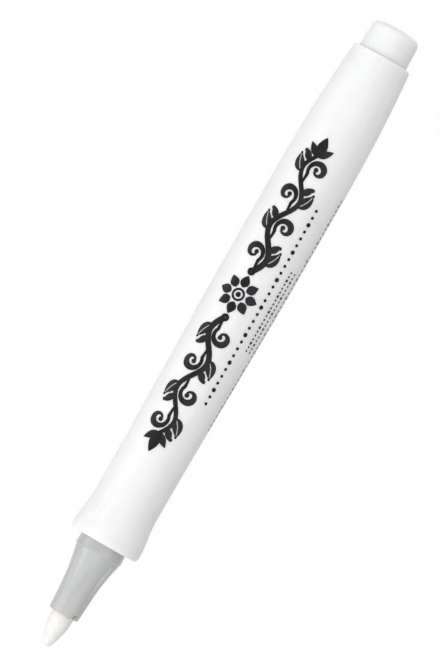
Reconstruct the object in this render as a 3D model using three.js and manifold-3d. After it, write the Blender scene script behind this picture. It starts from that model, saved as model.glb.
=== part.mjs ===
// A decorating marker without its cap: a white thick-walled barrel, a grey nib holder that carries
// a bullet nib, a fibre ink reservoir wrapped in film, and a plug with a knob that closes the tail.
// Millimetres, +Z up. The marker lies along X with its nib towards -X. The origin is under the
// middle of its length, and z = 0 is the lowest line of the barrel, at its flare.

import * as THREE from "three";
import { mergeVertices, toCreasedNormals } from "three/addons/utils/BufferGeometryUtils.js";
import Module from "manifold-3d";

// Lengths along the marker, from the tip of the nib to the end of the knob
const nibExposed = 6.8;
const coneLength = 13.4;
const collarLength = 2.0;
const barrelLength = 106.6;
const knobLength = 6.2;

// Nib
const nibDiameter = 4.45;
const nibTipRadius = 1.1;
const nibConeAngle = 18; // degrees from the axis to the side of the bullet
const nibShoulder = 1.8; // how far the round between cone and rod runs on each side of their corner
const nibReach = 6.5; // length of nib that is pushed into the reservoir
const nibTailTaper = 1.8;
const nibTailDiameter = 3.2;

// Reservoir
const reservoirDiameter = 9.2;
const filmThickness = 0.12;

// Nib holder, outside
const mouthWall = 0.7;
const mouthEdge = 0.35; // rounding of the outer edge at the mouth
const mouthTaper = 0.0585; // growth of the radius along the straight part of the cone
const mouthTaperLength = 4.6;
const collarOverlap = 0.49; // how far the collar's edge stands outside the hole in the barrel
const collarStep = 0.09; // from the top of the cone out to the collar
const collarFillet = 0.3;
const collarDraft = 0.11; // the collar is that much smaller in radius at the barrel
const gussetPairs = 2;
const gussetSpread = 105; // between the two gussets of a pair, in degrees
const gussetTurn = 3.5; // from the top to the middle of the first pair, in degrees
const gussetRadius = 0.6;
const gussetRise = 0.2; // crest above the cone at the gusset's upper end
const gussetTop = 0.6; // from the collar to the gusset's upper end
const gussetFoot = 5.0; // from the mouth to where the crest runs into the cone
const notchCount = 2;
const notchAngle = 48; // of the first notch, in degrees from the top
const notchWidth = 1.0;
const notchDepth = 0.85;

// Nib holder, inside and in the barrel
const passageClearance = 0.15; // round the nib, in the mouth
const holderWall = 1.05;
const neckLength = 7.5; // from the mouth to the end of the plain passage
const webCount = 4;
const webThickness = 0.8;
const webSetback = 1.6; // from the end of the stem to the end of the webs
const stemLength = 9.3;
const stemWall = 0.95;
const stemLeadIn = 0.4;
const beadHeight = 0.2;
const beadLength = 1.2;

// Barrel, outside. Flare, grip and belly wave in and out from the diameter of the front edge.
const barrelDiameter = 14.1; // at the front edge
const frontCorner = 0.45;
const flareRise = 0.16; // how far the widest ring of the flare stands out past the front edge
const flareOffset = 1.35; // from the front face to the widest ring of the flare
const gripDraw = 0.52; // how far the slimmest ring is drawn in from the front edge
const gripOffset = 8.8;
const bellyRise = 0.095; // how far the belly stands out past the front edge
const bellyOffset = 64;
const bellyLength = 11.5;
const rimWall = 0.73;
const rimCorner = 0.5;
const tailDrawIn = 2.5; // power of the curve from the belly to the rim

// Barrel, inside
const frontWall = 2.2;
const lipWidth = 0.8; // from the bore in to the hole that takes the stem
const seatDepth = 0.1; // shallow recess that the collar sits in
const seatMargin = 0.15;
const boreDraft = 0.12; // growth of the radius from the front wall to the tail
const boreRibCount = 8;
const boreRibHeight = 0.45;
const boreRibThickness = 0.9;
const boreRibStart = 4.0; // behind the front face
const tailLeadIn = 0.15;
const plugGrooveDepth = 0.2;
const plugGrooveAt = 3.4; // from the rim to the middle of the groove
const plugGrooveLength = 1.5;

// Tail plug
const knobGap = 0.22; // between knob and rim, all round
const knobDraft = 0.12;
const knobCorner = 1.35;
const knobDome = 0.32; // height of the end's crown
const knobDomeRadius = 3.7;
const neckDepth = 0.9; // how far the narrow neck of the knob goes into the barrel
const spigotLength = 6.4;
const spigotWall = 1.1;
const spigotLeadIn = 0.35;
const plugBeadHeight = 0.14;
const plugBeadLength = 1.1;
const finThickness = 0.9;
const finReach = 4.2; // how far the fins stand out of the spigot, towards the reservoir
const finInset = 0.5; // from the wrapped reservoir's side in to the fins' outer edges
const finSink = 0.2; // how far the fins run into the end wall of the knob, to be one with it

// Clearances
const nibGrip = 0.05; // between the nib and the webs, and round its tail in the reservoir
const wrapClearance = 0.03; // between the fibre bundle and its film
const reservoirClearance = 0.1;
const stemClearance = 0.08;
const spigotClearance = 0.06;
const seatGap = 0.3; // between ends that rest on each other

// Faces of the round stretches
const roundSides = 48;
const innerSides = 24;
const overcut = 1; // how far a cutting body stands out past what it cuts

// Stations along the marker, from the tip of the nib
const mouthAt = nibExposed;
const collarAt = mouthAt + coneLength;
const frontAt = collarAt + collarLength;
const tailAt = frontAt + barrelLength;
const endAt = tailAt + knobLength;
const stemEndAt = frontAt + stemLength;
const spigotAt = tailAt - spigotLength;
const finAt = spigotAt - finReach;
const reservoirFrontAt = stemEndAt + seatGap;
const reservoirTailAt = finAt - seatGap;
const nibTailAt = reservoirFrontAt + nibReach;

// Radii that follow from each other, from the nib and the reservoir outwards
const nibRadius = nibDiameter / 2;
const passageRadius = nibRadius + passageClearance;
const mouthRadius = passageRadius + mouthWall;
const reservoirRadius = reservoirDiameter / 2;
const ribTipRadius = reservoirRadius + reservoirClearance;
const boreRadius = ribTipRadius + boreRibHeight;
const lipRadius = boreRadius - lipWidth;
const stemRadius = lipRadius - stemClearance;
const collarRadius = lipRadius + collarOverlap;
const coneTopRadius = collarRadius - collarStep;
const frontRadius = barrelDiameter / 2;
const flareRadius = frontRadius + flareRise;
const gripRadius = frontRadius - gripDraw;
const bellyRadius = frontRadius + bellyRise;

const { Vector2, Shape, LatheGeometry, ExtrudeGeometry, BoxGeometry, CapsuleGeometry } = THREE;
const wasm = await Module();
wasm.setup();

// A closed geometry as a solid that can be joined and cut. Faces without area are left out.
function solid(geometry) {
  const bare = geometry.clone();
  bare.deleteAttribute("normal");
  bare.deleteAttribute("uv");
  const merged = mergeVertices(bare, 1e-5);
  const index = merged.index.array;
  const faces = [];
  for (let i = 0; i < index.length; i += 3) {
    const [a, b, c] = [index[i], index[i + 1], index[i + 2]];
    if (a !== b && b !== c && c !== a) faces.push(a, b, c);
  }
  return new wasm.Manifold(
    new wasm.Mesh({
      numProp: 3,
      vertProperties: merged.attributes.position.array,
      triVerts: new Uint32Array(faces),
    }),
  );
}

// A solid of revolution about the marker's axis, from outline points of radius and station.
function turned(outline, sides) {
  const points = outline.filter((p, i) => i === 0 || p.distanceTo(outline[i - 1]) > 1e-6);
  return solid(new LatheGeometry(points, sides));
}

const at = (radius, station) => new Vector2(radius, station);

// A stretch of outline whose radius is a formula of the station.
function stretch(from, to, steps, radiusAt) {
  return Array.from({ length: steps + 1 }, (_, i) => {
    const station = from + ((to - from) * i) / steps;
    return at(radiusAt(station), station);
  });
}

// A round of outline between two angles, from the radial direction towards the tail.
function round(radius, station, size, fromDegrees, toDegrees, steps) {
  return Array.from({ length: steps + 1 }, (_, i) => {
    const turn = THREE.MathUtils.degToRad(fromDegrees + ((toDegrees - fromDegrees) * i) / steps);
    return at(radius + size * Math.cos(turn), station + size * Math.sin(turn));
  });
}

// A soft corner: starts along one straight line and ends along the next.
function bend(start, corner, end, steps) {
  return new THREE.QuadraticBezierCurve(start, corner, end).getPoints(steps);
}

// A smooth change between two values, level at both ends.
function ease(from, to, share) {
  return from + ((to - from) * (1 - Math.cos(Math.PI * share))) / 2;
}

// Turns a body that stands over the radius line to its place round the axis.
function around(geometry, degreesFromTop) {
  return solid(geometry.clone().rotateY(THREE.MathUtils.degToRad(degreesFromTop - 90)));
}

// A flat plate in a plane through the axis, from its outline of radius and station.
function plate(outline, thickness) {
  const geometry = new ExtrudeGeometry(new Shape(outline), { depth: thickness, bevelEnabled: false });
  return geometry.translate(0, 0, -thickness / 2);
}

function repeated(count, firstAngle, make) {
  return Array.from({ length: count }, (_, i) => make(firstAngle + (360 * i) / count));
}

function joined(base, others) {
  return others.reduce((sum, other) => sum.add(other), base);
}

function without(base, others) {
  return others.reduce((sum, other) => sum.subtract(other), base);
}

// Outside of the holder's cone: a straight taper from the mouth that flares out to the collar.
function coneRadius(station) {
  const along = station - mouthAt;
  const flared = Math.max(0, (along - mouthTaperLength) / (coneLength - mouthTaperLength));
  const topRise = coneTopRadius - mouthRadius - mouthTaper * coneLength;
  return mouthRadius + mouthTaper * along + topRise * flared * flared;
}

// Inside of the barrel, which widens a little towards the tail.
function boreRadiusAt(station) {
  return boreRadius + (boreDraft * (station - frontAt - frontWall)) / (barrelLength - frontWall);
}

// Bullet nib: ball tip, cone and rod, with a pointed tail for the reservoir
function nib() {
  const angle = THREE.MathUtils.degToRad(nibConeAngle);
  const slope = new Vector2(Math.sin(angle), Math.cos(angle));
  const ballEnd = at(nibTipRadius * Math.cos(angle), nibTipRadius * (1 - Math.sin(angle)));
  const cornerAt = ballEnd.y + (nibRadius - ballEnd.x) / Math.tan(angle);
  const corner = at(nibRadius, cornerAt);
  return turned(
    [
      ...round(0, nibTipRadius, nibTipRadius, -90, -nibConeAngle, 6),
      ...bend(corner.clone().addScaledVector(slope, -nibShoulder), corner, at(nibRadius, cornerAt + nibShoulder), 6),
      at(nibRadius, nibTailAt - nibTailTaper),
      at(nibTailDiameter / 2, nibTailAt),
      at(0, nibTailAt),
    ],
    innerSides,
  );
}

// Hollow under the holder's cone and in its stem, less the webs that centre the nib
function holderHollow() {
  const stemHollow = stemRadius - stemWall;
  const wallInside = (station) =>
    Math.min(stemHollow, Math.max(passageRadius, coneRadius(Math.min(station, collarAt)) - holderWall));
  const neckAt = mouthAt + neckLength;
  const pocket = turned(
    [at(0, neckAt), ...stretch(neckAt, collarAt, 6, wallInside), at(stemHollow, frontAt),
      at(stemHollow, stemEndAt + overcut), at(0, stemEndAt + overcut)],
    innerSides,
  );
  const web = plate(
    [at(0, neckAt - overcut), at(collarRadius, neckAt - overcut), at(collarRadius, stemEndAt - webSetback),
      at(0, stemEndAt - webSetback)],
    webThickness,
  );
  const nibRoom = turned(
    [at(0, mouthAt - overcut), at(nibRadius + nibGrip, mouthAt - overcut),
      at(nibRadius + nibGrip, stemEndAt + overcut), at(0, stemEndAt + overcut)],
    innerSides,
  );
  const passage = turned(
    [at(0, mouthAt - overcut), at(passageRadius, mouthAt - overcut), at(passageRadius, neckAt), at(0, neckAt)],
    innerSides,
  );
  return joined(without(pocket, repeated(webCount, 0, (angle) => around(web, angle))), [nibRoom, passage]);
}

// Low rounded gusset in the hollow of the flare: its crest is straight, so it fades into the cone
function gusset() {
  const topAt = collarAt - gussetTop;
  const footAt = mouthAt + gussetFoot;
  const crestTop = coneRadius(topAt) + gussetRise;
  const crestFoot = coneRadius(footAt);
  const lean = Math.atan2(crestTop - crestFoot, topAt - footAt);
  const length = Math.hypot(crestTop - crestFoot, topAt - footAt);
  return new CapsuleGeometry(gussetRadius, length - gussetRadius, 3, 12)
    .translate(0, -gussetRadius / 2, 0)
    .rotateZ(-lean)
    .translate((crestTop + crestFoot) / 2 - gussetRadius, (topAt + footAt) / 2, 0);
}

// Grey nib holder: trumpet-shaped cone, collar, and a stem that snaps behind the barrel's front wall
function nibHolder() {
  const beadAt = frontAt + frontWall + stemClearance;
  const seatAt = frontAt + seatDepth;
  const outside = turned(
    [
      at(0, mouthAt),
      ...round(mouthRadius - mouthEdge, mouthAt + mouthEdge, mouthEdge, -90, 0, 3),
      at(coneRadius(mouthAt + mouthTaperLength), mouthAt + mouthTaperLength),
      ...stretch(mouthAt + mouthTaperLength, collarAt - collarFillet, 10, coneRadius),
      ...bend(at(coneRadius(collarAt - collarFillet), collarAt - collarFillet), at(coneTopRadius, collarAt),
        at(collarRadius, collarAt), 2),
      at(collarRadius, collarAt + collarStep),
      at(collarRadius - collarDraft, seatAt),
      at(stemRadius, seatAt),
      at(stemRadius, beadAt),
      at(stemRadius + beadHeight, beadAt + beadLength / 3),
      at(stemRadius + beadHeight, beadAt + (beadLength * 2) / 3),
      at(stemRadius, beadAt + beadLength),
      at(stemRadius, stemEndAt - stemLeadIn),
      at(stemRadius - stemLeadIn, stemEndAt),
      at(0, stemEndAt),
    ],
    roundSides,
  );
  const notchRoom = mouthRadius + overcut;
  const notch = new BoxGeometry(notchRoom, notchDepth + overcut, notchWidth).translate(
    notchRoom / 2, mouthAt + (notchDepth - overcut) / 2, 0,
  );
  const gussets = [-gussetSpread / 2, gussetSpread / 2].flatMap((side) =>
    repeated(gussetPairs, gussetTurn + side, (angle) => around(gusset(), angle)));
  const cuts = repeated(notchCount, notchAngle, (angle) => around(notch, angle));
  return without(joined(outside, gussets), [holderHollow(), ...cuts]);
}

// Outline of the barrel's outside: rounded front edge, flare, slim grip, long belly, and the draw-in
function barrelOutside() {
  const rim = boreRadiusAt(tailAt) + rimWall;
  const flareAt = frontAt + flareOffset;
  const gripAt = frontAt + gripOffset;
  const bellyAt = frontAt + bellyOffset;
  const drawInAt = bellyAt + bellyLength;
  const share = (station, from, to) => (station - from) / (to - from);
  return [
    ...round(frontRadius - frontCorner, frontAt + frontCorner, frontCorner, -90, 0, 3),
    ...stretch(frontAt + frontCorner, flareAt, 2,
      (s) => frontRadius + flareRise * Math.sin((Math.PI / 2) * share(s, frontAt + frontCorner, flareAt))),
    ...stretch(flareAt, gripAt, 7, (s) => ease(flareRadius, gripRadius, share(s, flareAt, gripAt))),
    ...stretch(gripAt, bellyAt, 7, (s) => ease(gripRadius, bellyRadius, share(s, gripAt, bellyAt))),
    ...stretch(drawInAt, tailAt - rimCorner, 9,
      (s) => bellyRadius - (bellyRadius - rim) * share(s, drawInAt, tailAt - rimCorner) ** tailDrawIn),
    ...round(rim - rimCorner, tailAt - rimCorner, rimCorner, 0, 90, 3),
  ];
}

// Barrel: moulded body with a front wall for the holder, a ribbed bore and a grooved mouth for the plug
function barrel() {
  const tailBore = boreRadiusAt(tailAt);
  const groove = tailAt - plugGrooveAt;
  const grooveSlope = plugGrooveDepth;
  const seatRadius = collarRadius + seatMargin;
  const shell = turned(
    [
      at(seatRadius, frontAt),
      ...barrelOutside(),
      at(tailBore + tailLeadIn, tailAt),
      at(tailBore, tailAt - tailLeadIn),
      at(boreRadiusAt(groove), groove + plugGrooveLength / 2),
      at(boreRadiusAt(groove) + plugGrooveDepth, groove + plugGrooveLength / 2 - grooveSlope),
      at(boreRadiusAt(groove) + plugGrooveDepth, groove - plugGrooveLength / 2 + grooveSlope),
      at(boreRadiusAt(groove), groove - plugGrooveLength / 2),
      at(boreRadius, frontAt + frontWall),
      at(lipRadius, frontAt + frontWall),
      at(lipRadius, frontAt + seatDepth),
      at(seatRadius, frontAt + seatDepth),
      at(seatRadius, frontAt),
    ],
    roundSides,
  );
  const ribFrom = frontAt + boreRibStart;
  const ribTo = spigotAt - seatGap;
  const root = boreRadiusAt(tailAt) + rimWall / 4; // sunk into the wall along its whole length
  const rib = plate(
    [at(ribTipRadius, ribFrom + boreRibHeight), at(root, ribFrom - (root - ribTipRadius) + boreRibHeight),
      at(root, ribTo), at(ribTipRadius, ribTo)],
    boreRibThickness,
  );
  return joined(shell, repeated(boreRibCount, 0, (angle) => around(rib, angle)));
}

// Ink reservoir: fibre bundle with the pierced end that the nib is pushed into
function reservoirCore() {
  const side = reservoirRadius - filmThickness - wrapClearance;
  const socket = nibRadius + nibGrip;
  const socketEnd = nibTailAt + seatGap;
  return turned(
    [at(0, socketEnd), at(nibTailDiameter / 2 + nibGrip, socketEnd), at(socket, nibTailAt - nibTailTaper),
      at(socket, reservoirFrontAt), at(side, reservoirFrontAt), at(side, reservoirTailAt), at(0, reservoirTailAt)],
    innerSides,
  );
}

// Film round the bundle, open at both ends
function reservoirFilm() {
  const inside = reservoirRadius - filmThickness;
  return turned(
    [at(inside, reservoirFrontAt), at(reservoirRadius, reservoirFrontAt), at(reservoirRadius, reservoirTailAt),
      at(inside, reservoirTailAt), at(inside, reservoirFrontAt)],
    innerSides,
  );
}

// Tail plug: hollow knob on a beaded spigot, with crossed fins that hold the reservoir forward
function tailPlug() {
  const spigotRadius = boreRadiusAt(spigotAt) - spigotClearance;
  const knobRadius = boreRadiusAt(tailAt) - knobGap;
  const knobEnd = knobRadius - knobDraft;
  const hollow = spigotRadius - spigotWall;
  const ceiling = endAt - knobDome - spigotWall;
  const bead = tailAt - plugGrooveAt;
  const domeAt = (radius) => at(radius, endAt - knobDome * (radius / knobDomeRadius) ** 2);
  const domeEdge = domeAt(knobDomeRadius);
  const domeFall = (2 * knobDome) / knobDomeRadius;
  const cornerAt = domeEdge.y - domeFall * (knobEnd - knobDomeRadius);
  const cap = turned(
    [
      at(0, ceiling),
      at(hollow - knobCorner, ceiling),
      at(hollow - knobDraft, ceiling - knobCorner),
      at(hollow, spigotAt),
      at(spigotRadius - spigotLeadIn, spigotAt),
      at(spigotRadius, spigotAt + spigotLeadIn),
      at(spigotRadius, bead - plugBeadLength / 2),
      at(spigotRadius + plugBeadHeight, bead - plugBeadLength / 4),
      at(spigotRadius + plugBeadHeight, bead + plugBeadLength / 4),
      at(spigotRadius, bead + plugBeadLength / 2),
      at(spigotRadius, tailAt - neckDepth - knobGap),
      at(knobRadius, tailAt - neckDepth),
      at(knobRadius, tailAt),
      ...bend(at(knobEnd, cornerAt - knobCorner), at(knobEnd, cornerAt), domeEdge, 5),
      ...[0.75, 0.5, 0.25, 0].map((share) => domeAt(knobDomeRadius * share)),
    ],
    roundSides,
  );
  const finEdge = reservoirRadius - finInset;
  const finTop = hollow - knobCorner + finSink;
  const fin = plate(
    [at(-finEdge, finAt + spigotLeadIn), at(-finEdge + spigotLeadIn, finAt), at(finEdge - spigotLeadIn, finAt),
      at(finEdge, finAt + spigotLeadIn), at(finEdge, tailAt - neckDepth), at(finTop, ceiling + finSink),
      at(-finTop, ceiling + finSink), at(-finEdge, tailAt - neckDepth)],
    finThickness,
  );
  return joined(cap, [around(fin, 0), around(fin, 90)]);
}

// Materials as the pieces look: white and grey moulded polypropylene, bonded fibre and clear film
const whitePlastic = { color: 0xf5f5f4, roughness: 0.45, metalness: 0 };
const pieces = {
  barrel: [barrel(), whitePlastic],
  nib_holder: [nibHolder(), { color: 0xb6babb, roughness: 0.4, metalness: 0 }],
  nib: [nib(), { color: 0xf6f5ee, roughness: 0.9, metalness: 0 }],
  reservoir_core: [reservoirCore(), { color: 0xf0efe9, roughness: 0.95, metalness: 0 }],
  reservoir_film: [reservoirFilm(), { color: 0xe9ecee, roughness: 0.25, metalness: 0 }],
  tail_plug: [tailPlug(), whitePlastic],
};

const marker = new THREE.Group();
for (const [name, [body, look]] of Object.entries(pieces)) {
  const made = body.getMesh();
  const geometry = new THREE.BufferGeometry();
  geometry.setAttribute("position", new THREE.BufferAttribute(made.vertProperties, 3));
  geometry.setIndex(new THREE.BufferAttribute(made.triVerts, 1));
  const mesh = new THREE.Mesh(toCreasedNormals(geometry), new THREE.MeshStandardMaterial(look));
  mesh.name = name;
  marker.add(mesh);
}

// Laid down: the axis along X, the nib towards -X, the lowest line of the barrel on z = 0
marker.rotation.z = -Math.PI / 2;
marker.position.set(-endAt / 2, 0, Math.max(flareRadius, bellyRadius));

const assembly = new THREE.Group();
assembly.add(marker);

export default assembly;
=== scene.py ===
# A decorating marker without its cap. It lies on a pale floor and is seen from above.
import math
import bmesh
import bpy
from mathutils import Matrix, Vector
from mathutils.geometry import delaunay_2d_cdt


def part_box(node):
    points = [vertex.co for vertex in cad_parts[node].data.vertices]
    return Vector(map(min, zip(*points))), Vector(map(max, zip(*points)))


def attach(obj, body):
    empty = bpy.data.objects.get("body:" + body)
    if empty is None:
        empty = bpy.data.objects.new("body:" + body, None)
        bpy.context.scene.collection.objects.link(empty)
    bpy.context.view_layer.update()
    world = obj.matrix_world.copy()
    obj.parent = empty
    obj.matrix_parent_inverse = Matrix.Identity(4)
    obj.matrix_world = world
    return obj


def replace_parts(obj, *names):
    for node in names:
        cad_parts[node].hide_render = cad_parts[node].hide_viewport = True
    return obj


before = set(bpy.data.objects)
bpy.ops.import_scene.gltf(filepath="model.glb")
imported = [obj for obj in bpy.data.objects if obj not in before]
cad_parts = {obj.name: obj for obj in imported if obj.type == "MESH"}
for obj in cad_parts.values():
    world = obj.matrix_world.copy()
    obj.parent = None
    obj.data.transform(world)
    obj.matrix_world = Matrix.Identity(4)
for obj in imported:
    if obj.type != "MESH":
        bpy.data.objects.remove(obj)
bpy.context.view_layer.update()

print("marker: frame loaded")

# Where things are: stations in mm from the nib's tip, radii in mm from the marker's axis
mm = 0.001
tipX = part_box("nib")[0].x
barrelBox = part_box("barrel")
axisHeight = (barrelBox[0].z + barrelBox[1].z) / 2


def place(station, radius, angle):  # angle 0 is the top, and a quarter turn is the -Y side
    across, up = radius * mm * math.sin(angle), radius * mm * math.cos(angle)
    return Vector((tipX + station * mm, -across, axisHeight + up))


# Camera: a long lens straight above the marker, turned so that the marker leans
cameraView = {
    "height": 1.8,  # metres above the floor
    "overX": -0.0159,
    "overY": 0.00052,
    "aimX": 0.0001,
    "lean": 29.83,  # degrees from the marker's axis to the picture's upright
    "pictureHeight": 0.1275,  # metres of the marker's level that the picture's long side takes in
    "sensor": 36,
    "clip": (0.01, 20),
}


def makeCamera():
    lean = math.radians(cameraView["lean"])
    aim = Vector((cameraView["aimX"], cameraView["overY"], axisHeight))
    eye = Vector((cameraView["overX"], cameraView["overY"], cameraView["height"]))
    back = (eye - aim).normalized()
    upright = Vector((math.cos(lean), math.sin(lean), 0))
    right = upright.cross(back).normalized()
    upright = back.cross(right)
    data = bpy.data.cameras.new("pictureCamera")
    data.sensor_width = cameraView["sensor"]
    data.lens = cameraView["sensor"] * (eye - aim).length / cameraView["pictureHeight"]
    data.clip_start, data.clip_end = cameraView["clip"]
    camera = bpy.data.objects.new("pictureCamera", data)
    bpy.context.scene.collection.objects.link(camera)
    camera.location = eye
    turn = camera.matrix_world.to_3x3()
    turn.col[0], turn.col[1], turn.col[2] = right, upright, back
    camera.rotation_euler = turn.to_euler()
    bpy.context.scene.camera = camera


makeCamera()
print("marker: camera set")


# Nodes and colours
def linear(hexColour):
    channels = [int(hexColour[i:i + 2], 16) / 255 for i in (1, 3, 5)]
    return [c / 12.92 if c <= 0.04045 else ((c + 0.055) / 1.055) ** 2.4 for c in channels] + [1]


def addNode(tree, kind, settings=None, links=None):
    node = tree.nodes.new(kind)
    for key, value in (settings or {}).items():
        if isinstance(key, int) or key in node.inputs:
            node.inputs[key].default_value = value
        else:
            setattr(node, key, value)
    for key, source in (links or {}).items():
        tree.links.new(source, node.inputs[key])
    return node


def emptyMaterial(name):
    material = bpy.data.materials.new(name)
    material.use_nodes = True
    material.node_tree.nodes.clear()
    return material, material.node_tree


def cells(width):  # noise scale at which a strand of this many mm and its gap fill one cell
    return 0.5 / width


def millimetres(tree, along=1):  # places in mm; along under 1 draws a pattern out along the marker
    coordinates = addNode(tree, "ShaderNodeTexCoord")
    return addNode(tree, "ShaderNodeMapping", {"Scale": (along / mm, 1 / mm, 1 / mm)},
                   {"Vector": coordinates.outputs["Object"]}).outputs["Vector"]


# Polypropylene, injection moulded in a fine spark-eroded mould. It is satin and a little milky, so
# light spreads softly on it. The eye sees a faint mottle, flow lines along the barrel and fine grain.
# The grey holder comes from a smoother mould and shines more.
whiteLook = {
    "colour": "#e5e5e5",
    "shade": "#e0e0e0",
    "roughness": (0.46, 0.56),
    "ior": 1.49,
    "milky": 0.75,
    "milkyDepth": 0.0016,
    "mottle": 6.25,  # mm across a patch
    "flow": 1.111,  # mm across a flow line
    "flowStretch": 0.06,
    "grain": 0.09,  # mm; the mould's texture is nearer 0.04 and is drawn coarser, so that it shows
    "grainHeight": 0.004,
    "flowHeight": 0.010,
}
greyLook = {
    "colour": "#b4b5b5",
    "shade": "#aeafaf",
    "roughness": (0.14, 0.2),
    "ior": 1.49,
    "milky": 0.15,
    "milkyDepth": 0.0007,
    "mottle": 6.25,
    "flow": 1.111,
    "flowStretch": 0.06,
    "grain": 0.09,
    "grainHeight": 0.002,
    "flowHeight": 0.006,
}


def mouldedPolypropylene(name, look):
    material, tree = emptyMaterial(name)
    even = millimetres(tree)
    along = millimetres(tree, look["flowStretch"])
    mottle = addNode(tree, "ShaderNodeTexNoise", {"Scale": 1 / look["mottle"], "Detail": 3},
                     {"Vector": even})
    flow = addNode(tree, "ShaderNodeTexNoise", {"Scale": 1 / look["flow"], "Detail": 2},
                   {"Vector": along})
    grain = addNode(tree, "ShaderNodeTexNoise", {"Scale": 1 / look["grain"], "Detail": 2},
                    {"Vector": even})
    blend = addNode(tree, "ShaderNodeMath", {"operation": "MULTIPLY"},
                    {0: mottle.outputs["Fac"], 1: flow.outputs["Fac"]})
    share = addNode(tree, "ShaderNodeMapRange", {"From Min": 0.12, "From Max": 0.4},
                    {"Value": blend.outputs[0]})
    colour = addNode(tree, "ShaderNodeMix", {"data_type": "RGBA", 6: linear(look["colour"]),
                                             7: linear(look["shade"])}, {0: share.outputs[0]})
    low, high = look["roughness"]
    gloss = addNode(tree, "ShaderNodeMapRange", {"From Min": 0.3, "From Max": 0.7, "To Min": low,
                                                 "To Max": high}, {"Value": grain.outputs["Fac"]})
    lines = addNode(tree, "ShaderNodeBump", {"Strength": 1, "Distance": look["flowHeight"] * mm},
                    {"Height": flow.outputs["Fac"]})
    bumps = addNode(tree, "ShaderNodeBump", {"Strength": 1, "Distance": look["grainHeight"] * mm},
                    {"Height": grain.outputs["Fac"], "Normal": lines.outputs["Normal"]})
    surface = addNode(tree, "ShaderNodeBsdfPrincipled",
                      {"IOR": look["ior"], "Subsurface Weight": look["milky"],
                       "Subsurface Radius": (1, 0.9, 0.8), "Subsurface Scale": look["milkyDepth"]},
                      {"Base Color": colour.outputs[2], "Roughness": gloss.outputs[0],
                       "Normal": bumps.outputs["Normal"]})
    addNode(tree, "ShaderNodeOutputMaterial", links={"Surface": surface.outputs[0]})
    return material


# Acrylic fibres bonded with resin into a rod, ground to a bullet. The eye sees a dry, matt white with
# fine streaks along the rod, a little creamier between the fibres.
# Between the fibres the colour is also a little darker. That darkening is painted shade in the low places
# of the fibre bump.
nibLook = {
    "fibre": "#e9e8e5",
    # gap: creamier and darker than the fibre, laid where the bump is lowest; its darkness is painted
    # shade
    "gap": "#e0ded7",
    "roughness": 0.85,
    "ior": 1.49,
    "milky": 0.2,
    "milkyDepth": 0.0004,
    "fibreWidth": 0.09,  # mm; real fibres are about 0.02 and are drawn coarser, so that they show
    "fibreStretch": 0.08,
    "fibreHeight": 0.012,
    "poreWidth": 0.25,
}


def bondedFibre(name, look):
    material, tree = emptyMaterial(name)
    even = millimetres(tree)
    along = millimetres(tree, look["fibreStretch"])
    fibres = addNode(tree, "ShaderNodeTexNoise", {"Scale": cells(look["fibreWidth"]), "Detail": 2},
                     {"Vector": along})
    pores = addNode(tree, "ShaderNodeTexNoise", {"Scale": cells(look["poreWidth"]), "Detail": 3},
                    {"Vector": even})
    both = addNode(tree, "ShaderNodeMath", {"operation": "ADD"},
                   {0: fibres.outputs["Fac"], 1: pores.outputs["Fac"]})
    # The same noise sets the colour and the bump, so the gap colour paints shade into the bump's low
    # places
    share = addNode(tree, "ShaderNodeMapRange", {"From Min": 0.75, "From Max": 1.25},
                    {"Value": both.outputs[0]})
    colour = addNode(tree, "ShaderNodeMix", {"data_type": "RGBA", 6: linear(look["gap"]),
                                             7: linear(look["fibre"])}, {0: share.outputs[0]})
    bumps = addNode(tree, "ShaderNodeBump", {"Strength": 1, "Distance": look["fibreHeight"] * mm},
                    {"Height": both.outputs[0]})
    surface = addNode(tree, "ShaderNodeBsdfPrincipled",
                      {"IOR": look["ior"], "Roughness": look["roughness"],
                       "Subsurface Weight": look["milky"], "Subsurface Radius": (1, 0.9, 0.75),
                       "Subsurface Scale": look["milkyDepth"]},
                      {"Base Color": colour.outputs[2], "Normal": bumps.outputs["Normal"]})
    addNode(tree, "ShaderNodeOutputMaterial", links={"Surface": surface.outputs[0]})
    return material


# Two-part pad-printing ink, dried to a thin black coat. The eye sees a deep satin black that is a
# touch uneven where the pad laid it thinner.
inkLook = {
    "colour": "#050505",
    "thin": "#0b0b0c",
    "roughness": (0.22, 0.34),
    "ior": 1.3,  # an ink has about 1.45; this one is matched to the photograph
    "patch": 0.8,  # mm across an uneven patch
}


def padPrintInk(name, look):
    material, tree = emptyMaterial(name)
    patches = addNode(tree, "ShaderNodeTexNoise", {"Scale": 1 / look["patch"], "Detail": 4},
                      {"Vector": millimetres(tree)})
    share = addNode(tree, "ShaderNodeMapRange", {"From Min": 0.35, "From Max": 0.7},
                    {"Value": patches.outputs["Fac"]})
    colour = addNode(tree, "ShaderNodeMix", {"data_type": "RGBA", 6: linear(look["colour"]),
                                             7: linear(look["thin"])}, {0: share.outputs[0]})
    low, high = look["roughness"]
    gloss = addNode(tree, "ShaderNodeMapRange", {"To Min": low, "To Max": high},
                    {"Value": patches.outputs["Fac"]})
    surface = addNode(tree, "ShaderNodeBsdfPrincipled", {"IOR": look["ior"]},
                      {"Base Color": colour.outputs[2], "Roughness": gloss.outputs[0]})
    addNode(tree, "ShaderNodeOutputMaterial", links={"Surface": surface.outputs[0]})
    return material


# Polyester fibres drawn into a loose bundle. The eye would see a soft off-white with strands along it.
bundleLook = {
    "strand": "#f2f0ea",
    # gap: darker than the strands, laid where the strand bump is lowest; it is painted shade between the
    # strands
    "gap": "#d9d6cc",
    "roughness": 0.95,
    "strandWidth": 0.15,
    "strandStretch": 0.04,
    "strandHeight": 0.04,
}

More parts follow.
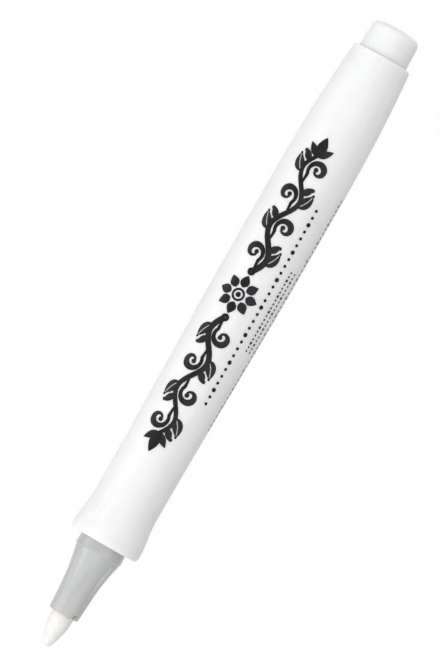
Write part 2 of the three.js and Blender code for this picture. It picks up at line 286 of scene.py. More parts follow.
# Clear polypropylene film, rolled round the bundle. The eye would see a thin shine with fine creases.
filmLook = {
    "colour": "#e9ecee",
    # The crease colour: darker than the film, laid where the crease bump is lowest; it is painted shade
    # in the creases
    "paintedCreaseShade": "#dfe3e6",
    "roughness": 0.22,
    "ior": 1.49,
    "clear": 0.6,
    "creaseWidth": 1.5,
    "creaseStretch": 0.3,
    "creaseHeight": 0.03,
}


def fibreBundle(name, look):
    material, tree = emptyMaterial(name)
    strands = addNode(tree, "ShaderNodeTexNoise", {"Scale": cells(look["strandWidth"]), "Detail": 3},
                      {"Vector": millimetres(tree, look["strandStretch"])})
    # The same noise sets the colour and the bump, so the gap colour paints shade between the strands
    colour = addNode(tree, "ShaderNodeMix", {"data_type": "RGBA", 6: linear(look["gap"]),
                                             7: linear(look["strand"])}, {0: strands.outputs["Fac"]})
    bumps = addNode(tree, "ShaderNodeBump", {"Strength": 1, "Distance": look["strandHeight"] * mm},
                    {"Height": strands.outputs["Fac"]})
    surface = addNode(tree, "ShaderNodeBsdfPrincipled", {"Roughness": look["roughness"]},
                      {"Base Color": colour.outputs[2], "Normal": bumps.outputs["Normal"]})
    addNode(tree, "ShaderNodeOutputMaterial", links={"Surface": surface.outputs[0]})
    return material


def clearFilm(name, look):
    material, tree = emptyMaterial(name)
    creases = addNode(tree, "ShaderNodeTexNoise", {"Scale": cells(look["creaseWidth"]), "Detail": 5},
                      {"Vector": millimetres(tree, look["creaseStretch"])})
    # The same noise sets the colour and the bump, so the crease colour paints shade into the creases
    colour = addNode(tree, "ShaderNodeMix", {"data_type": "RGBA", 6: linear(look["paintedCreaseShade"]),
                                             7: linear(look["colour"])}, {0: creases.outputs["Fac"]})
    bumps = addNode(tree, "ShaderNodeBump", {"Strength": 1, "Distance": look["creaseHeight"] * mm},
                    {"Height": creases.outputs["Fac"]})
    surface = addNode(tree, "ShaderNodeBsdfPrincipled",
                      {"Roughness": look["roughness"], "IOR": look["ior"],
                       "Transmission Weight": look["clear"]},
                      {"Base Color": colour.outputs[2], "Normal": bumps.outputs["Normal"]})
    addNode(tree, "ShaderNodeOutputMaterial", links={"Surface": surface.outputs[0]})
    return material


whitePlastic = mouldedPolypropylene("whitePolypropyleneMoulded", whiteLook)
greyPlastic = mouldedPolypropylene("greyPolypropyleneMoulded", greyLook)
nibFibre = bondedFibre("acrylicFibreBonded", nibLook)
blackInk = padPrintInk("blackInkPadPrinted", inkLook)
print("marker: materials made")


# Meshes turned about the marker's axis
sharpEdge = 32  # degrees
onAxis = 1e-6  # mm; a smaller ring is one point
samePoint = 1e-8  # metres


def evenAngles(count):
    return [2 * math.pi * i / count for i in range(count)]


def atAngle(value, angle):
    return value(angle) if callable(value) else value


def smoothFaces(mesh, sharpest):  # an edge that bends by this many degrees or more stays sharp
    for face in mesh.faces:
        face.smooth = True
    for edge in mesh.edges:
        edge.smooth = len(edge.link_faces) == 2 and edge.calc_face_angle(0) < math.radians(sharpest)


def finishMesh(name, mesh, material, sharpest=sharpEdge):
    bmesh.ops.remove_doubles(mesh, verts=mesh.verts, dist=samePoint)
    bmesh.ops.recalc_face_normals(mesh, faces=mesh.faces)
    smoothFaces(mesh, sharpest)
    data = bpy.data.meshes.new(name)
    mesh.to_mesh(data)
    mesh.free()
    data.materials.append(material)
    piece = bpy.data.objects.new(name, data)
    bpy.context.scene.collection.objects.link(piece)
    return piece


def turned(outline, angles):  # outline: station and radius, each a number or a formula of the angle
    mesh = bmesh.new()
    rings = []
    for station, radius in outline:
        if not callable(radius) and radius < onAxis:
            rings.append([mesh.verts.new(place(station, 0, 0))])
            continue
        rings.append([mesh.verts.new(place(atAngle(station, a), atAngle(radius, a), a)) for a in angles])
    count = len(angles)
    for ring, following in zip(rings, rings[1:] + rings[:1]):
        if len(ring) == 1 and len(following) == 1:
            continue
        for i in range(count):
            j = (i + 1) % count
            corners = [ring[i % len(ring)], ring[j % len(ring)],
                       following[j % len(following)], following[i % len(following)]]
            mesh.faces.new(list(dict.fromkeys(corners)))
    return mesh


def arc(station, radius, size, start, end, steps):  # degrees from straight out, towards the tail
    turns = [math.radians(start + (end - start) * i / steps) for i in range(steps + 1)]
    return [(station + size * math.sin(t), radius + size * math.cos(t)) for t in turns]


def bend(start, corner, end, steps):
    points = []
    for i in range(steps + 1):
        t = i / steps
        weights = ((1 - t) ** 2, 2 * t * (1 - t), t * t)
        points.append(tuple(sum(w * p[k] for w, p in zip(weights, (start, corner, end)))
                            for k in (0, 1)))
    return points


def stretch(start, end, steps, formula):
    places = [start + (end - start) * i / steps for i in range(steps + 1)]
    return [(at, formula(at)) for at in places]


def ease(start, end, share):
    return start + (end - start) * (1 - math.cos(math.pi * share)) / 2


# Barrel: flared front, slim grip, long belly, tail drawn in to the rim
barrelSizes = {
    "front": 22.2,
    "tail": 128.8,
    "frontRadius": 7.05,
    "frontCorner": 0.45,
    "flareRadius": 7.21,
    "flareAt": 23.55,
    "gripRadius": 6.53,
    "gripAt": 31.0,
    "bellyRadius": 7.145,
    "bellyFrom": 86.2,
    "bellyTo": 97.7,
    "rimRadius": 6.0,
    "rimCorner": 0.5,
    "drawInPower": 2.5,
    "seatRadius": 4.99,  # shallow recess round the holder's collar
    "seatDepth": 0.1,
    "lipRadius": 4.35,
    "frontWall": 2.2,
    "boreRadius": 5.15,
    "tailBore": 5.27,
    "leadIn": 0.15,
    "grooveAt": 125.4,
    "grooveHalf": 0.75,
    "grooveDepth": 0.2,
    "ribCount": 8,
    "ribHalf": 0.45,
    "ribRadius": 4.7,
    "ribFrom": 26.2,
    "ribTo": 122.1,
    "ribStartSlope": 0.45,
    "step": 0.02,  # along the axis, where a wall stands nearly square to it
    "sides": 240,
}


def barrelRadius(station):
    b = barrelSizes
    cornerEnd = b["front"] + b["frontCorner"]
    drawInEnd = b["tail"] - b["rimCorner"]
    if station < cornerEnd:
        down = cornerEnd - station
        return b["frontRadius"] - b["frontCorner"] + math.sqrt(b["frontCorner"] ** 2 - down ** 2)
    if station < b["flareAt"]:
        share = (station - cornerEnd) / (b["flareAt"] - cornerEnd)
        return b["frontRadius"] + (b["flareRadius"] - b["frontRadius"]) * math.sin(math.pi / 2 * share)
    if station < b["gripAt"]:
        return ease(b["flareRadius"], b["gripRadius"],
                    (station - b["flareAt"]) / (b["gripAt"] - b["flareAt"]))
    if station < b["bellyFrom"]:
        return ease(b["gripRadius"], b["bellyRadius"],
                    (station - b["gripAt"]) / (b["bellyFrom"] - b["gripAt"]))
    if station < b["bellyTo"]:
        return b["bellyRadius"]
    share = min(1, (station - b["bellyTo"]) / (drawInEnd - b["bellyTo"]))
    return b["bellyRadius"] - (b["bellyRadius"] - b["rimRadius"]) * share ** b["drawInPower"]


def boreRadius(station):
    b = barrelSizes
    inside = b["front"] + b["frontWall"]
    return b["boreRadius"] + (b["tailBore"] - b["boreRadius"]) * (station - inside) / (b["tail"] - inside)


def ribbedBore(station):
    def radius(angle):
        pitch = 2 * math.pi / barrelSizes["ribCount"]
        off = abs((angle + pitch / 2) % pitch - pitch / 2)
        onRib = off * barrelSizes["ribRadius"] < barrelSizes["ribHalf"]
        return barrelSizes["ribRadius"] if onRib else boreRadius(station)
    return radius


def makeBarrel():
    b = barrelSizes
    corner = b["frontCorner"]
    groove = b["grooveAt"]
    outline = [
        (b["front"], b["seatRadius"]),
        *arc(b["front"] + corner, b["frontRadius"] - corner, corner, -90, 0, 8),
        *stretch(b["front"] + corner, b["flareAt"], 8, barrelRadius)[1:],
        *stretch(b["flareAt"], b["gripAt"], 24, barrelRadius)[1:],
        *stretch(b["gripAt"], b["bellyFrom"], 50, barrelRadius)[1:],
        *stretch(b["bellyFrom"], b["bellyTo"], 4, barrelRadius)[1:],
        *stretch(b["bellyTo"], b["tail"] - b["rimCorner"], 40, barrelRadius)[1:],
        *arc(b["tail"] - b["rimCorner"], b["rimRadius"] - b["rimCorner"], b["rimCorner"], 0, 90, 10)[1:],
        (b["tail"], b["tailBore"] + b["leadIn"]),
        (b["tail"] - b["leadIn"], b["tailBore"]),
        (groove + b["grooveHalf"], boreRadius(groove)),
        (groove + b["grooveHalf"] - b["grooveDepth"], boreRadius(groove) + b["grooveDepth"]),
        (groove - b["grooveHalf"] + b["grooveDepth"], boreRadius(groove) + b["grooveDepth"]),
        (groove - b["grooveHalf"], boreRadius(groove)),
        (b["ribTo"] + b["step"], boreRadius(b["ribTo"])),
        (b["ribTo"], ribbedBore(b["ribTo"])),
        (b["ribFrom"] + b["ribStartSlope"], ribbedBore(b["ribFrom"])),
        (b["ribFrom"], boreRadius(b["ribFrom"])),
        (b["front"] + b["frontWall"], b["boreRadius"]),
        (b["front"] + b["frontWall"], b["lipRadius"]),
        (b["front"] + b["seatDepth"], b["lipRadius"]),
        (b["front"] + b["seatDepth"], b["seatRadius"]),
    ]
    piece = finishMesh("barrelShell", turned(outline, evenAngles(b["sides"])), whitePlastic)
    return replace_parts(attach(piece, "root"), "barrel")


makeBarrel()
print("marker: barrel made")

# Nib holder: trumpet cone with four gussets, two vent notches, a collar and a hollow stem
holderSizes = {
    "mouth": 6.8,
    "collar": 20.2,
    "seat": barrelSizes["front"] + barrelSizes["seatDepth"],
    "end": 31.5,
    "passage": 2.375,
    "mouthRadius": 3.075,
    "mouthEdge": 0.35,
    "taper": 0.0585,
    "taperEnd": 11.4,
    "coneTop": 4.75,
    "collarRadius": 4.84,
    "collarStep": 0.09,
    "collarFillet": 0.3,
    "collarFoot": 4.73,
    "collarTaper": 0.06,
    "stemRadius": 4.27,
    "stemHollow": 3.32,
    "wall": 1.05,
    "neckEnd": 14.3,
    "webEnd": 29.9,
    "webCount": 4,
    "webRadius": 2.275,
    "webHalfAngle": 8.2,  # degrees
    "beadAt": 24.48,
    "beadHeight": 0.2,
    "beadLength": 1.2,
    "leadIn": 0.4,
    "gussetAngles": (56, 131, 236, 311),
    "gussetRadius": 0.6,
    "gussetRise": 0.2,
    "gussetTop": 19.6,
    "gussetFoot": 11.8,
    "gussetBlend": 0.05,
    "notchAngles": (48, 228),
    "notchHalf": 0.5,
    "notchDepth": 0.85,
    "notchSettle": 2.5,  # mm of cone over which the rows behind a notch close up
    "notchWall": 0.0006,  # radians on each side of a notch's edge, which make its wall steep
    "footRoom": 0.6,  # mm in front of a gusset's foot where its round crest may still rise
    "mouthRows": 0.35,  # mm between rows of points near the mouth
    "gussetRowsFrom": 11.2,
    "gussetRows": 0.14,  # mm between rows where the gussets stand
    "softEdge": 0.05,
    "step": 0.02,
    "sharpest": 30,
    "sides": 384,
}


def coneRadius(station):
    h = holderSizes
    along = station - h["mouth"]
    length = h["collar"] - h["mouth"]
    flared = max(0, (station - h["taperEnd"]) / (h["collar"] - h["taperEnd"]))
    rise = h["coneTop"] - h["mouthRadius"] - h["taper"] * length
    return h["mouthRadius"] + h["taper"] * along + rise * flared ** 2


def offFrom(angle, count, first):  # signed angle to the nearest of evenly spaced marks
    pitch = 2 * math.pi / count
    return (angle - math.radians(first) + pitch / 2) % pitch - pitch / 2


def ribbedCone(station):
    h = holderSizes
    bare = coneRadius(station)
    if not h["gussetFoot"] - h["footRoom"] < station < h["gussetTop"]:
        return bare
    share = (station - h["gussetFoot"]) / (h["gussetTop"] - h["gussetFoot"])
    crestFoot = coneRadius(h["gussetFoot"])
    crestTop = coneRadius(h["gussetTop"]) + h["gussetRise"]
    centre = crestFoot + (crestTop - crestFoot) * share - h["gussetRadius"]
    past = max(0, station - (h["gussetTop"] - h["gussetRadius"]))

    def radius(angle):
        off = min((offFrom(angle, 1, gusset) for gusset in h["gussetAngles"]), key=abs)
        left = h["gussetRadius"] ** 2 - past ** 2 - (centre * math.sin(off)) ** 2
        if left <= 0:
            return bare
        rib = centre * math.cos(off) + math.sqrt(left)
        blend = h["gussetBlend"]
        return (bare + rib + math.sqrt((bare - rib) ** 2 + blend ** 2) - blend) / 2
    return radius


def inNotch(angle):
    h = holderSizes
    offs = [angle - math.radians(n) for n in h["notchAngles"]]
    return any(math.cos(o) > 0 and abs(h["mouthRadius"] * math.sin(o)) < h["notchHalf"] for o in offs)


def pastNotch(station):
    h = holderSizes

    def moved(angle):
        along = station - h["mouth"]
        if along >= h["notchSettle"] or not inNotch(angle):
            return station
        return h["mouth"] + h["notchDepth"] + along * (1 - h["notchDepth"] / h["notchSettle"])
    return moved


def coneRow(station):
    if station < holderSizes["mouth"] + holderSizes["notchSettle"]:
        return pastNotch(station), lambda angle: coneRadius(pastNotch(station)(angle))
    return station, ribbedCone(station)


def pocket(station):
    h = holderSizes
    wide = min(h["stemHollow"], max(h["passage"], coneRadius(min(station, h["collar"])) - h["wall"]))

    def radius(angle):
        off = offFrom(angle, h["webCount"], 0)
        return h["webRadius"] if abs(off) < math.radians(h["webHalfAngle"]) else wide
    return radius


def makeHolder():
    h = holderSizes
    angles = evenAngles(h["sides"])
    for notch in h["notchAngles"]:
        edge = math.asin(h["notchHalf"] / h["mouthRadius"])
        for side in (-1, 1):
            at = math.radians(notch) + side * edge
            nearest = min(range(len(angles)), key=lambda i: abs(angles[i] - at))
            angles[nearest] = at - h["notchWall"]
            angles.insert(nearest + 1, at + h["notchWall"])
    angles.sort()
    edge = h["mouthEdge"]
    settle = h["mouth"] + h["notchSettle"]
    rounded = arc(h["mouth"] + edge, h["mouthRadius"] - edge, edge, -90, 0, 5)
    firstRow = h["mouth"] + edge
    nextRow = h["gussetRowsFrom"]
    filletAt = h["collar"] - h["collarFillet"]
    mouthCount = int((nextRow - firstRow) / h["mouthRows"])
    gussetCount = int((filletAt - nextRow) / h["gussetRows"])
    coneRows = [firstRow + h["mouthRows"] * (i + 1) for i in range(mouthCount)]
    coneRows += [nextRow + h["gussetRows"] * i for i in range(gussetCount)]
    bead, soft = h["beadAt"], h["softEdge"]
    narrowing = (h["collar"] - h["neckEnd"]) / 6
    outline = [
        *[(pastNotch(station), radius) for station, radius in rounded],
        *[coneRow(row) for row in coneRows],
        *bend((filletAt, coneRadius(filletAt)), (h["collar"], h["coneTop"]),
              (h["collar"], h["collarRadius"]), 5),
        (h["collar"] + soft, h["collarRadius"]),
        (h["collar"] + h["collarStep"], h["collarRadius"]),
        (h["seat"] - soft, h["collarFoot"] + h["collarTaper"] * soft),
        (h["seat"], h["collarFoot"]),
        (h["seat"], h["stemRadius"]),
        (bead, h["stemRadius"]),
        (bead + h["beadLength"] / 3, h["stemRadius"] + h["beadHeight"]),
        (bead + h["beadLength"] * 2 / 3, h["stemRadius"] + h["beadHeight"]),
        (bead + h["beadLength"], h["stemRadius"]),
        (h["end"] - h["leadIn"], h["stemRadius"]),
        (h["end"], h["stemRadius"] - h["leadIn"]),
        (h["end"], h["stemHollow"]),
        (h["webEnd"] + h["step"], h["stemHollow"]),
        (h["webEnd"], pocket(h["webEnd"])),
        (h["collar"], pocket(h["collar"])),
        *[(h["neckEnd"] + h["step"] + narrowing * i, pocket(h["neckEnd"] + i)) for i in range(5, -1, -1)],
        (h["neckEnd"], h["passage"]),
        (settle, h["passage"]),
        (pastNotch(h["mouth"] + soft), h["passage"]),
        (pastNotch(h["mouth"]), h["passage"] + soft),
    ]
    piece = finishMesh("nibHolderCone", turned(outline, angles), greyPlastic, h["sharpest"])
    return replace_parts(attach(piece, "root"), "nib_holder")


makeHolder()
print("marker: nib holder made")

# Nib: ball tip, ground cone with a soft shoulder, rod, and a pointed tail in the reservoir
nibSizes = {
    "radius": 2.225,
    "tipRadius": 1.1,
    "coneAngle": 18,
    "shoulder": 1.8,
    "rodFrom": 12,
    "tail": 38.3,
    "tailTaper": 1.8,
    "tailRadius": 1.6,
    "sides": 120,
}


def makeNib():
    n = nibSizes
    slope = math.radians(n["coneAngle"])
    ballEnd = (n["tipRadius"] * (1 - math.sin(slope)), n["tipRadius"] * math.cos(slope))
    cornerAt = ballEnd[0] + (n["radius"] - ballEnd[1]) / math.tan(slope)
    start = (cornerAt - n["shoulder"] * math.cos(slope), n["radius"] - n["shoulder"] * math.sin(slope))
    tip = arc(n["tipRadius"], 0, n["tipRadius"], -90, -n["coneAngle"], 14)
    outline = [
        (0, 0),
        *tip[1:],
        *bend(start, (cornerAt, n["radius"]), (cornerAt + n["shoulder"], n["radius"]), 14),
        *stretch(n["rodFrom"], n["tail"] - n["tailTaper"], 6, lambda station: n["radius"]),
        (n["tail"], n["tailRadius"]),
        (n["tail"], 0),
    ]
    piece = finishMesh("bulletNib", turned(outline, evenAngles(n["sides"])), nibFibre)
    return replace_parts(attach(piece, "root"), "nib")


makeNib()
print("marker: nib made")

# Tail plug: domed knob with a narrow neck, a beaded spigot and crossed fins
plugSizes = {
    "rim": barrelSizes["tail"],
    "end": 135.0,
    "knobRadius": 5.05,
    "knobEnd": 4.93,
    "corner": 1.35,
    "dome": 0.32,
    "domeRadius": 3.7,
    "domeRings": (0.92, 0.84, 0.72, 0.6, 0.48, 0.36, 0.27),  # shares of that radius
    "neckDepth": 0.9,
    "neckSlope": 0.22,
    "spigotRadius": 5.203,
    "spigot": 122.4,
    "wall": 1.1,
    "leadIn": 0.35,
    "beadAt": barrelSizes["grooveAt"],
    "beadHeight": 0.14,
    "beadLength": 1.1,
    "gateRadius": 0.7,  # where the plastic was let into the mould
    "gateDepth": 0.08,
    "gateEdge": 0.08,
    "finHalf": 0.45,
    "finAt": 118.2,
    "finEdge": 4.1,
    "finSink": 0.2,
    "sides": 192,
}


def makeFin(name, upright):
    p = plugSizes
    hollow = p["spigotRadius"] - p["wall"]
    top = p["end"] - p["dome"] - p["wall"] + p["finSink"]
    topHalf = hollow - p["corner"] + p["finSink"]
    half = [(p["finAt"], p["finEdge"] - p["leadIn"]), (p["finAt"] + p["leadIn"], p["finEdge"]),
            (p["rim"] - p["neckDepth"], p["finEdge"]), (top, topHalf)]
    outline = half + [(station, -radius) for station, radius in reversed(half)]
    mesh = bmesh.new()
    sides = []
    for offset in (-p["finHalf"], p["finHalf"]):
        ring = []
        for station, reach in outline:
            across, up = (-offset, reach) if upright else (reach, offset)
            ring.append(mesh.verts.new((tipX + station * mm, across * mm, axisHeight + up * mm)))
        sides.append(ring)
    mesh.faces.new(sides[0])
    mesh.faces.new(list(reversed(sides[1])))
    for i in range(len(outline)):
        j = (i + 1) % len(outline)
        mesh.faces.new([sides[0][j], sides[0][i], sides[1][i], sides[1][j]])
    return finishMesh(name, mesh, whitePlastic)


def unite(piece, others):
    for other in others:
        step = piece.modifiers.new("unite", "BOOLEAN")
        step.operation, step.solver, step.object = "UNION", "EXACT", other
    graph = bpy.context.evaluated_depsgraph_get()
    united = bpy.data.meshes.new_from_object(piece.evaluated_get(graph))
    piece.modifiers.clear()
    piece.data = united
    for other in others:
        bpy.data.objects.remove(other)
    shaped = bmesh.new()
    shaped.from_mesh(united)
    smoothFaces(shaped, sharpEdge)
    shaped.to_mesh(united)
    shaped.free()
    return piece


def makePlug():
    p = plugSizes
    hollow = p["spigotRadius"] - p["wall"]
    ceiling = p["end"] - p["dome"] - p["wall"]
    draft = p["knobRadius"] - p["knobEnd"]

    def domeAt(radius):
        return p["end"] - p["dome"] * (radius / p["domeRadius"]) ** 2, radius

    fall = 2 * p["dome"] / p["domeRadius"]
    cornerAt = domeAt(p["domeRadius"])[0] - fall * (p["knobEnd"] - p["domeRadius"])
    cornerFrom = cornerAt - p["corner"]

    def knobSide(station):
        return p["knobRadius"] - draft * (station - p["rim"]) / (cornerFrom - p["rim"])

    bead, half = p["beadAt"], p["beadLength"] / 2
    outline = [
        (ceiling, 0),
        (ceiling, hollow - p["corner"]),
        (ceiling - p["corner"], hollow - draft),
        (p["spigot"], hollow),
        (p["spigot"], p["spigotRadius"] - p["leadIn"]),
        (p["spigot"] + p["leadIn"], p["spigotRadius"]),
        (bead - half, p["spigotRadius"]),
        (bead - half / 2, p["spigotRadius"] + p["beadHeight"]),
        (bead + half / 2, p["spigotRadius"] + p["beadHeight"]),
        (bead + half, p["spigotRadius"]),
        (p["rim"] - p["neckDepth"] - p["neckSlope"], p["spigotRadius"]),
        (p["rim"] - p["neckDepth"], p["knobRadius"]),
        (p["rim"], p["knobRadius"]),
        *stretch(p["rim"], cornerFrom, 6, knobSide)[1:-1],
        *bend((cornerFrom, p["knobEnd"]), (cornerAt, p["knobEnd"]), domeAt(p["domeRadius"]), 16),
        *[domeAt(p["domeRadius"] * share) for share in p["domeRings"]],
        domeAt(p["gateRadius"] + p["gateEdge"]),
        (domeAt(p["gateRadius"])[0] - p["gateDepth"], p["gateRadius"]),
        (p["end"] - p["gateDepth"], 0),
    ]
    piece = finishMesh("tailPlugKnob", turned(outline, evenAngles(p["sides"])), whitePlastic)
    piece = unite(piece, [makeFin("finAcross", False), makeFin("finUpright", True)])
    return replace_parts(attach(piece, "root"), "tail_plug")


makePlug()
print("marker: tail plug made")

# Printed ornament: a traditional leaf scroll with a rosette and rows of beads. It is drawn flat,
# with the station as x and the distance round the barrel as y, and is then wrapped round the barrel.
scrollSizes = {
    "raise": 0.014,  # mm of ink above the plastic
    "sink": 0.006,
    "grid": 0.42,  # mm between points inside the ink, so that it follows the barrel's curve
    "sharpest": 40,
    "merge": 0.0001,
    "middle": (76.0, -1.4),
    "bays": 4,
    "bayLength": 6.3,
    "firstBay": 5.0,
    "sway": 1.45,
    "stemHalf": (0.62, 0.4),  # half its thickness at the rosette and at the end
    "stemKnot": 0.78,
    "curlAt": (0.55, -1),  # along from the wave's crest, and from its height to the curl's top
    "curlRadius": 1.95,
    "curlTurns": 1.15,
    "curlStart": 128,
    "curlHalf": (0.34, 0.66, 0.22),  # half its thickness at the stem, at most and at the berry
    "curlLeave": 0.02,  # share of the bay at which the curl leaves the stem
    "curlInward": 0.78,  # share of the radius that the spiral loses
    "curlPower": 0.9,
    "curlNeck": 0.4,  # how thin the neck starts, as a share of its end
    "curlSwell": 0.8,  # share of the spiral over which it swells and thins again
    "curlBerry": 0.46,
    "leafPower": 0.8,  # under 1, so a leaf is widest before its middle
    "leafFullness": 0.9,
    "leafThinnest": 0.01,  # each side of the vein
    # at: along from the crest, and up from the stem
    "leaf": {"at": (-0.9, 0.15), "heading": 48, "size": (3.9, 2.1), "curl": -40, "vein": 0.17},
    "leaflet": {"at": (1.5, 0.1), "heading": 22, "size": (2.7, 1.4), "curl": 30, "vein": 0},
    "berries": (  # along from the bay's end, up from the crest's height, and radius
        (0.1, 1.15, 0.36),
        (-0.75, 1.75, 0.26),
    ),
    "endBack": 0.2,
    "endLeaf": (4.2, 2.1),
    "endLeaflet": (3.3, 1.5),
    "endSpread": 48,
    "petals": 8,
    "petal": (2.5, 1.85),
    "petalFrom": 1.55,
    "ring": (1.07, 0.22),
    "button": 0.52,
    "bigBead": 1.4,  # times the row's radius
    "bigEvery": 4,
    "beadSides": 14,
    "beadRows": (  # distance from the middle round the barrel, bead radius, spacing, half length
        (5.2, 0.32, 1.5, 21.0),
        (7.4, 0.22, 0.85, 8.5),
        (8.6, 0.22, 0.85, 8.5),
        (10.6, 0.28, 1.0, 25.0),
    ),
}


def beside(point, heading, distance, off=0):
    turn = math.radians(heading)
    return (point[0] + distance * math.cos(turn) - off * math.sin(turn),
            point[1] + distance * math.sin(turn) + off * math.cos(turn))


def ribbon(points, halves):
    left, right = [], []
    for i, point in enumerate(points):
        before, after = points[max(0, i - 1)], points[min(len(points) - 1, i + 1)]
        heading = math.degrees(math.atan2(after[1] - before[1], after[0] - before[0]))
        left.append(beside(point, heading, 0, halves[i]))
        right.append(beside(point, heading, 0, -halves[i]))
    return right + left[::-1]


def disc(centre, radius, sides=28):
    return [beside(centre, 360 * i / sides, radius) for i in range(sides)]


def leaf(base, heading, size, curl=0, vein=0):
    s = scrollSizes
    length, width = size
    steps, veinCloses = 22, 5
    spine, point = [], base
    for i in range(steps + 1):
        swell = math.sin(math.pi * (i / steps) ** s["leafPower"]) if 0 < i < steps else 0
        half = width / 2 * swell ** s["leafFullness"]
        spine.append((point, heading, half, vein / 2 * min(1, (steps - i) / veinCloses)))
        heading += curl / steps
        point = beside(point, heading, length / steps)
    if not vein:
        upper = [beside(p, h, 0, half) for p, h, half, _ in spine]
        lower = [beside(p, h, 0, -half) for p, h, half, _ in spine]
        return [lower + upper[-2:0:-1]]
    halves = []
    for side in (1, -1):
        outer = [beside(p, h, 0, side * max(half, vein / 2 + s["leafThinnest"]))
                 for p, h, half, _ in spine]
        inner = [beside(p, h, 0, side * gap) for p, h, _, gap in spine]
        halves.append(inner + outer[::-1])
    return halves


def curlShape(centre, leave):  # a neck out of the stem, then a spiral that swells and ends in a berry
    s = scrollSizes
    begin, most, last = s["curlHalf"]
    neck = s["curlNeck"]
    neckSteps, turnSteps = 8, 60
    entry = beside(centre, s["curlStart"], s["curlRadius"])
    points = [tuple(a + (b - a) * i / neckSteps for a, b in zip(leave, entry)) for i in range(neckSteps)]
    halves = [begin * (neck + (1 - neck) * i / neckSteps) for i in range(neckSteps)]
    for i in range(turnSteps + 1):
        share = i / turnSteps
        reach = s["curlRadius"] * (1 - s["curlInward"] * share ** s["curlPower"])
        points.append(beside(centre, s["curlStart"] - 360 * s["curlTurns"] * share, reach))
        bulge = math.sin(math.pi * min(1, share / s["curlSwell"])) ** 2
        halves.append(begin + (last - begin) * share + (most - begin) * bulge)
    return [ribbon(points, halves), disc(points[-1], s["curlBerry"])]


def scrollHalf():  # from the rosette to one end, with the rosette's middle at 0, 0
    s = scrollSizes
    bay, first = s["bayLength"], s["firstBay"]
    length = first + s["bays"] * bay
    steps = 120

    def stemAt(x):
        return s["sway"] * math.sin(math.pi * (x - first) / bay)

    thick, thin = s["stemHalf"]
    halves = [thick + (thin - thick) * i / steps for i in range(steps + 1)]
    shapes = [ribbon(stretch(first, length, steps, stemAt), halves), disc((first, 0), s["stemKnot"])]
    for k in range(s["bays"]):
        sign = 1 if k % 2 == 0 else -1  # every other bay is turned over
        crest = first + (k + 0.5) * bay
        leave = first + (k + s["curlLeave"]) * bay
        curlAlong, curlUp = s["curlAt"]
        parts = curlShape((crest + curlAlong, s["sway"] + curlUp - s["curlRadius"]),
                          (leave, sign * stemAt(leave)))
        for sizes in (s["leaf"], s["leaflet"]):
            along = crest + sizes["at"][0]
            base = (along, sign * stemAt(along) + sizes["at"][1])
            parts += leaf(base, sizes["heading"], sizes["size"], sizes["curl"], sizes["vein"])
        for along, up, radius in s["berries"]:
            parts.append(disc((crest + bay / 2 + along, s["sway"] + up), radius))
        shapes += [[(x, sign * y) for x, y in part] for part in parts]
    tip = (length - s["endBack"], stemAt(length))
    for heading, size in ((0, s["endLeaf"]), (s["endSpread"], s["endLeaflet"]),
                          (-s["endSpread"], s["endLeaflet"])):
        shapes += leaf(tip, heading, size)
    return shapes


def scrollShapes():
    s = scrollSizes
    half = scrollHalf()
    shapes = half + [[(-x, -y) for x, y in shape] for shape in half]
    for i in range(s["petals"]):
        heading = 360 * i / s["petals"]
        shapes += leaf(beside((0, 0), heading, s["petalFrom"]), heading, s["petal"])
    size, thickness = s["ring"]
    for start in (0, 180):
        halfRing = stretch(start, start + 180, 24, lambda heading: beside((0, 0), heading, size))
        shapes.append(ribbon([point for _, point in halfRing], [thickness] * len(halfRing)))
    shapes.append(disc((0, 0), s["button"]))
    for off, radius, spacing, reach in s["beadRows"]:
        count = int(reach / spacing)
        for i in range(-count, count + 1):
            grown = s["bigBead"] if i % s["bigEvery"] == 0 else 1
            shapes.append(disc((i * spacing, off), radius * grown, s["beadSides"]))
    middle = s["middle"]
    return [[Vector((middle[0] + x, middle[1] + y)) for x, y in shape] for shape in shapes]


def counterclockwise(shape):
    area = sum(a.x * b.y - b.x * a.y for a, b in zip(shape, shape[1:] + shape[:1]))
    return shape if area > 0 else shape[::-1]


def makeScroll():
    s = scrollSizes
    points, faces = [], []
    for shape in scrollShapes():
        faces.append(list(range(len(points), len(points) + len(shape))))
        points += counterclockwise(shape)
    lowX, highX = min(p.x for p in points), max(p.x for p in points)
    lowY, highY = min(p.y for p in points), max(p.y for p in points)
    for i in range(1, int((highX - lowX) / s["grid"])):
        for j in range(1, int((highY - lowY) / s["grid"])):
            points.append(Vector((lowX + (i + 0.5 * (j % 2)) * s["grid"], lowY + j * s["grid"])))
    flat, _, triangles, _, _, owners = delaunay_2d_cdt(points, [], faces, 0, s["merge"])
    inked = [triangle for triangle, owner in zip(triangles, owners) if owner]
    mesh = bmesh.new()

    def wrapped(point, lift):
        radius = barrelRadius(point.x)
        return mesh.verts.new(place(point.x, radius + lift, point.y / radius))

    used = sorted({i for triangle in inked for i in triangle})
    above = {i: wrapped(flat[i], s["raise"]) for i in used}
    below = {i: wrapped(flat[i], -s["sink"]) for i in used}
    sides = set()
    for a, b, c in inked:
        mesh.faces.new([above[a], above[b], above[c]])
        mesh.faces.new([below[c], below[b], below[a]])
        sides |= {(a, b), (b, c), (c, a)}
    for a, b in sides:
        if (b, a) not in sides:
            mesh.faces.new([above[b], above[a], below[a], below[b]])
    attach(finishMesh("printedScroll", mesh, blackInk, s["sharpest"]), "root")


makeScroll()
print("marker: ornament made")

# The fibre bundle and its film stay as the frame has them, with their own materials
for node, material in (("reservoir_core", fibreBundle("polyesterFibreBundle", bundleLook)),
                       ("reservoir_film", clearFilm("clearFilmRolled", filmLook))):
    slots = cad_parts[node].material_slots
    for slot in slots:
        slot.material = material
    if not slots:
        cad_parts[node].data.materials.append(material)
print("marker: reservoir given its materials")

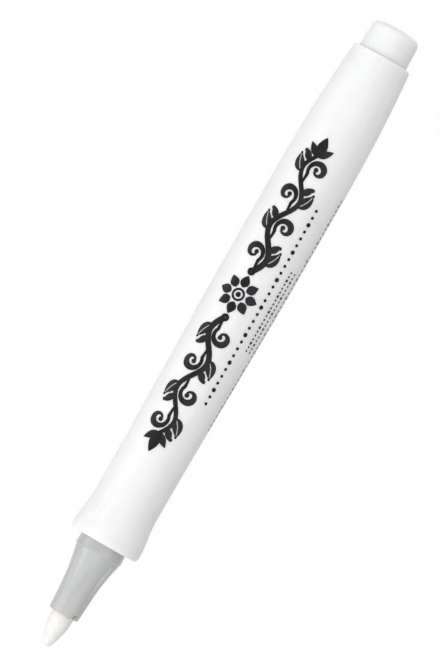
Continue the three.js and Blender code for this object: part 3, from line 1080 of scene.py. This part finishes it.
# Floor, world and lamps
stageLook = {
    "floor": "#bebebe",
    "floorSize": 12,
    "floorDrop": 0.00001,  # below the marker, so that the two don't share a level
    "floorShare": 0.9,  # share of plain white in the floor as the eye and the gloss see it
    "floorGlow": 1.05,
    "world": "#ffffff",
    "worldStrength": 0.38,
}
lampSizes = {  # bearings and heights in degrees, metres, and glow in times plain white
    "key": {"bearing": 150, "height": 38.5, "distance": 1.5, "width": 2.5, "length": 1.77, "glow": 1.39},
    "side": {"bearing": 100, "height": 18, "distance": 1.5, "width": 1.4, "length": 0.8, "glow": 1.65},
    "fill": {"bearing": -60, "height": 68, "distance": 1.5, "width": 2.6, "length": 1.8, "glow": 0.93},
    "back": {"bearing": 8, "height": 18, "distance": 1.5, "width": 1.3, "length": 1.1, "glow": 1.75},
}


def seenRays(tree):  # 1 where the background itself is seen, also through or in a surface
    path = addNode(tree, "ShaderNodeLightPath")
    direct = addNode(tree, "ShaderNodeMath", {"operation": "MAXIMUM"},
                     {0: path.outputs["Is Camera Ray"], 1: path.outputs["Is Transmission Ray"]})
    return addNode(tree, "ShaderNodeMath", {"operation": "MAXIMUM"},
                   {0: direct.outputs[0], 1: path.outputs["Is Glossy Ray"]}).outputs[0]


def makeFloor():
    size, level = stageLook["floorSize"] / 2, -stageLook["floorDrop"]
    data = bpy.data.meshes.new("paleFloor")
    corners = [(x * size, y * size, level) for x, y in ((-1, -1), (1, -1), (1, 1), (-1, 1))]
    data.from_pydata(corners, [], [(0, 1, 2, 3)])
    floor = bpy.data.objects.new("paleFloor", data)
    bpy.context.scene.collection.objects.link(floor)
    material, tree = emptyMaterial("paleFloorMatt")
    matt = addNode(tree, "ShaderNodeBsdfDiffuse", {"Color": linear(stageLook["floor"])})
    white = addNode(tree, "ShaderNodeEmission", {"Color": (1, 1, 1, 1),
                                                 "Strength": stageLook["floorGlow"]})
    share = addNode(tree, "ShaderNodeMath", {"operation": "MULTIPLY", 1: stageLook["floorShare"]},
                    {0: seenRays(tree)})
    mixed = addNode(tree, "ShaderNodeMixShader",
                    links={0: share.outputs[0], 1: matt.outputs[0], 2: white.outputs[0]})
    addNode(tree, "ShaderNodeOutputMaterial", links={"Surface": mixed.outputs[0]})
    data.materials.append(material)


def makeWorld():
    world = bpy.data.worlds.new("paleRoom")
    bpy.context.scene.world = world
    world.use_nodes = True
    tree = world.node_tree
    tree.nodes.clear()
    strength = addNode(tree, "ShaderNodeMapRange", {"To Min": stageLook["worldStrength"], "To Max": 1},
                       {"Value": seenRays(tree)})
    shown = addNode(tree, "ShaderNodeBackground", {"Color": linear(stageLook["world"])},
                    {"Strength": strength.outputs[0]})
    addNode(tree, "ShaderNodeOutputWorld", links={"Surface": shown.outputs[0]})


def makeLamp(name, lamp):
    bearing, height = math.radians(lamp["bearing"]), math.radians(lamp["height"])
    away = Vector((math.cos(bearing) * math.cos(height), math.sin(bearing) * math.cos(height),
                   math.sin(height)))
    data = bpy.data.lights.new(name, "AREA")
    data.shape, data.size, data.size_y = "RECTANGLE", lamp["width"], lamp["length"]
    data.energy = lamp["glow"] * math.pi * lamp["width"] * lamp["length"]
    light = bpy.data.objects.new(name, data)
    bpy.context.scene.collection.objects.link(light)
    light.location = away * lamp["distance"]
    light.rotation_euler = away.to_track_quat("Z", "Y").to_euler()
    light.visible_camera = False


makeFloor()
makeWorld()
for lampName, lampSize in lampSizes.items():
    makeLamp(lampName + "Softbox", lampSize)
bpy.context.scene.view_settings.view_transform = "Standard"
print("marker: floor and lamps set")
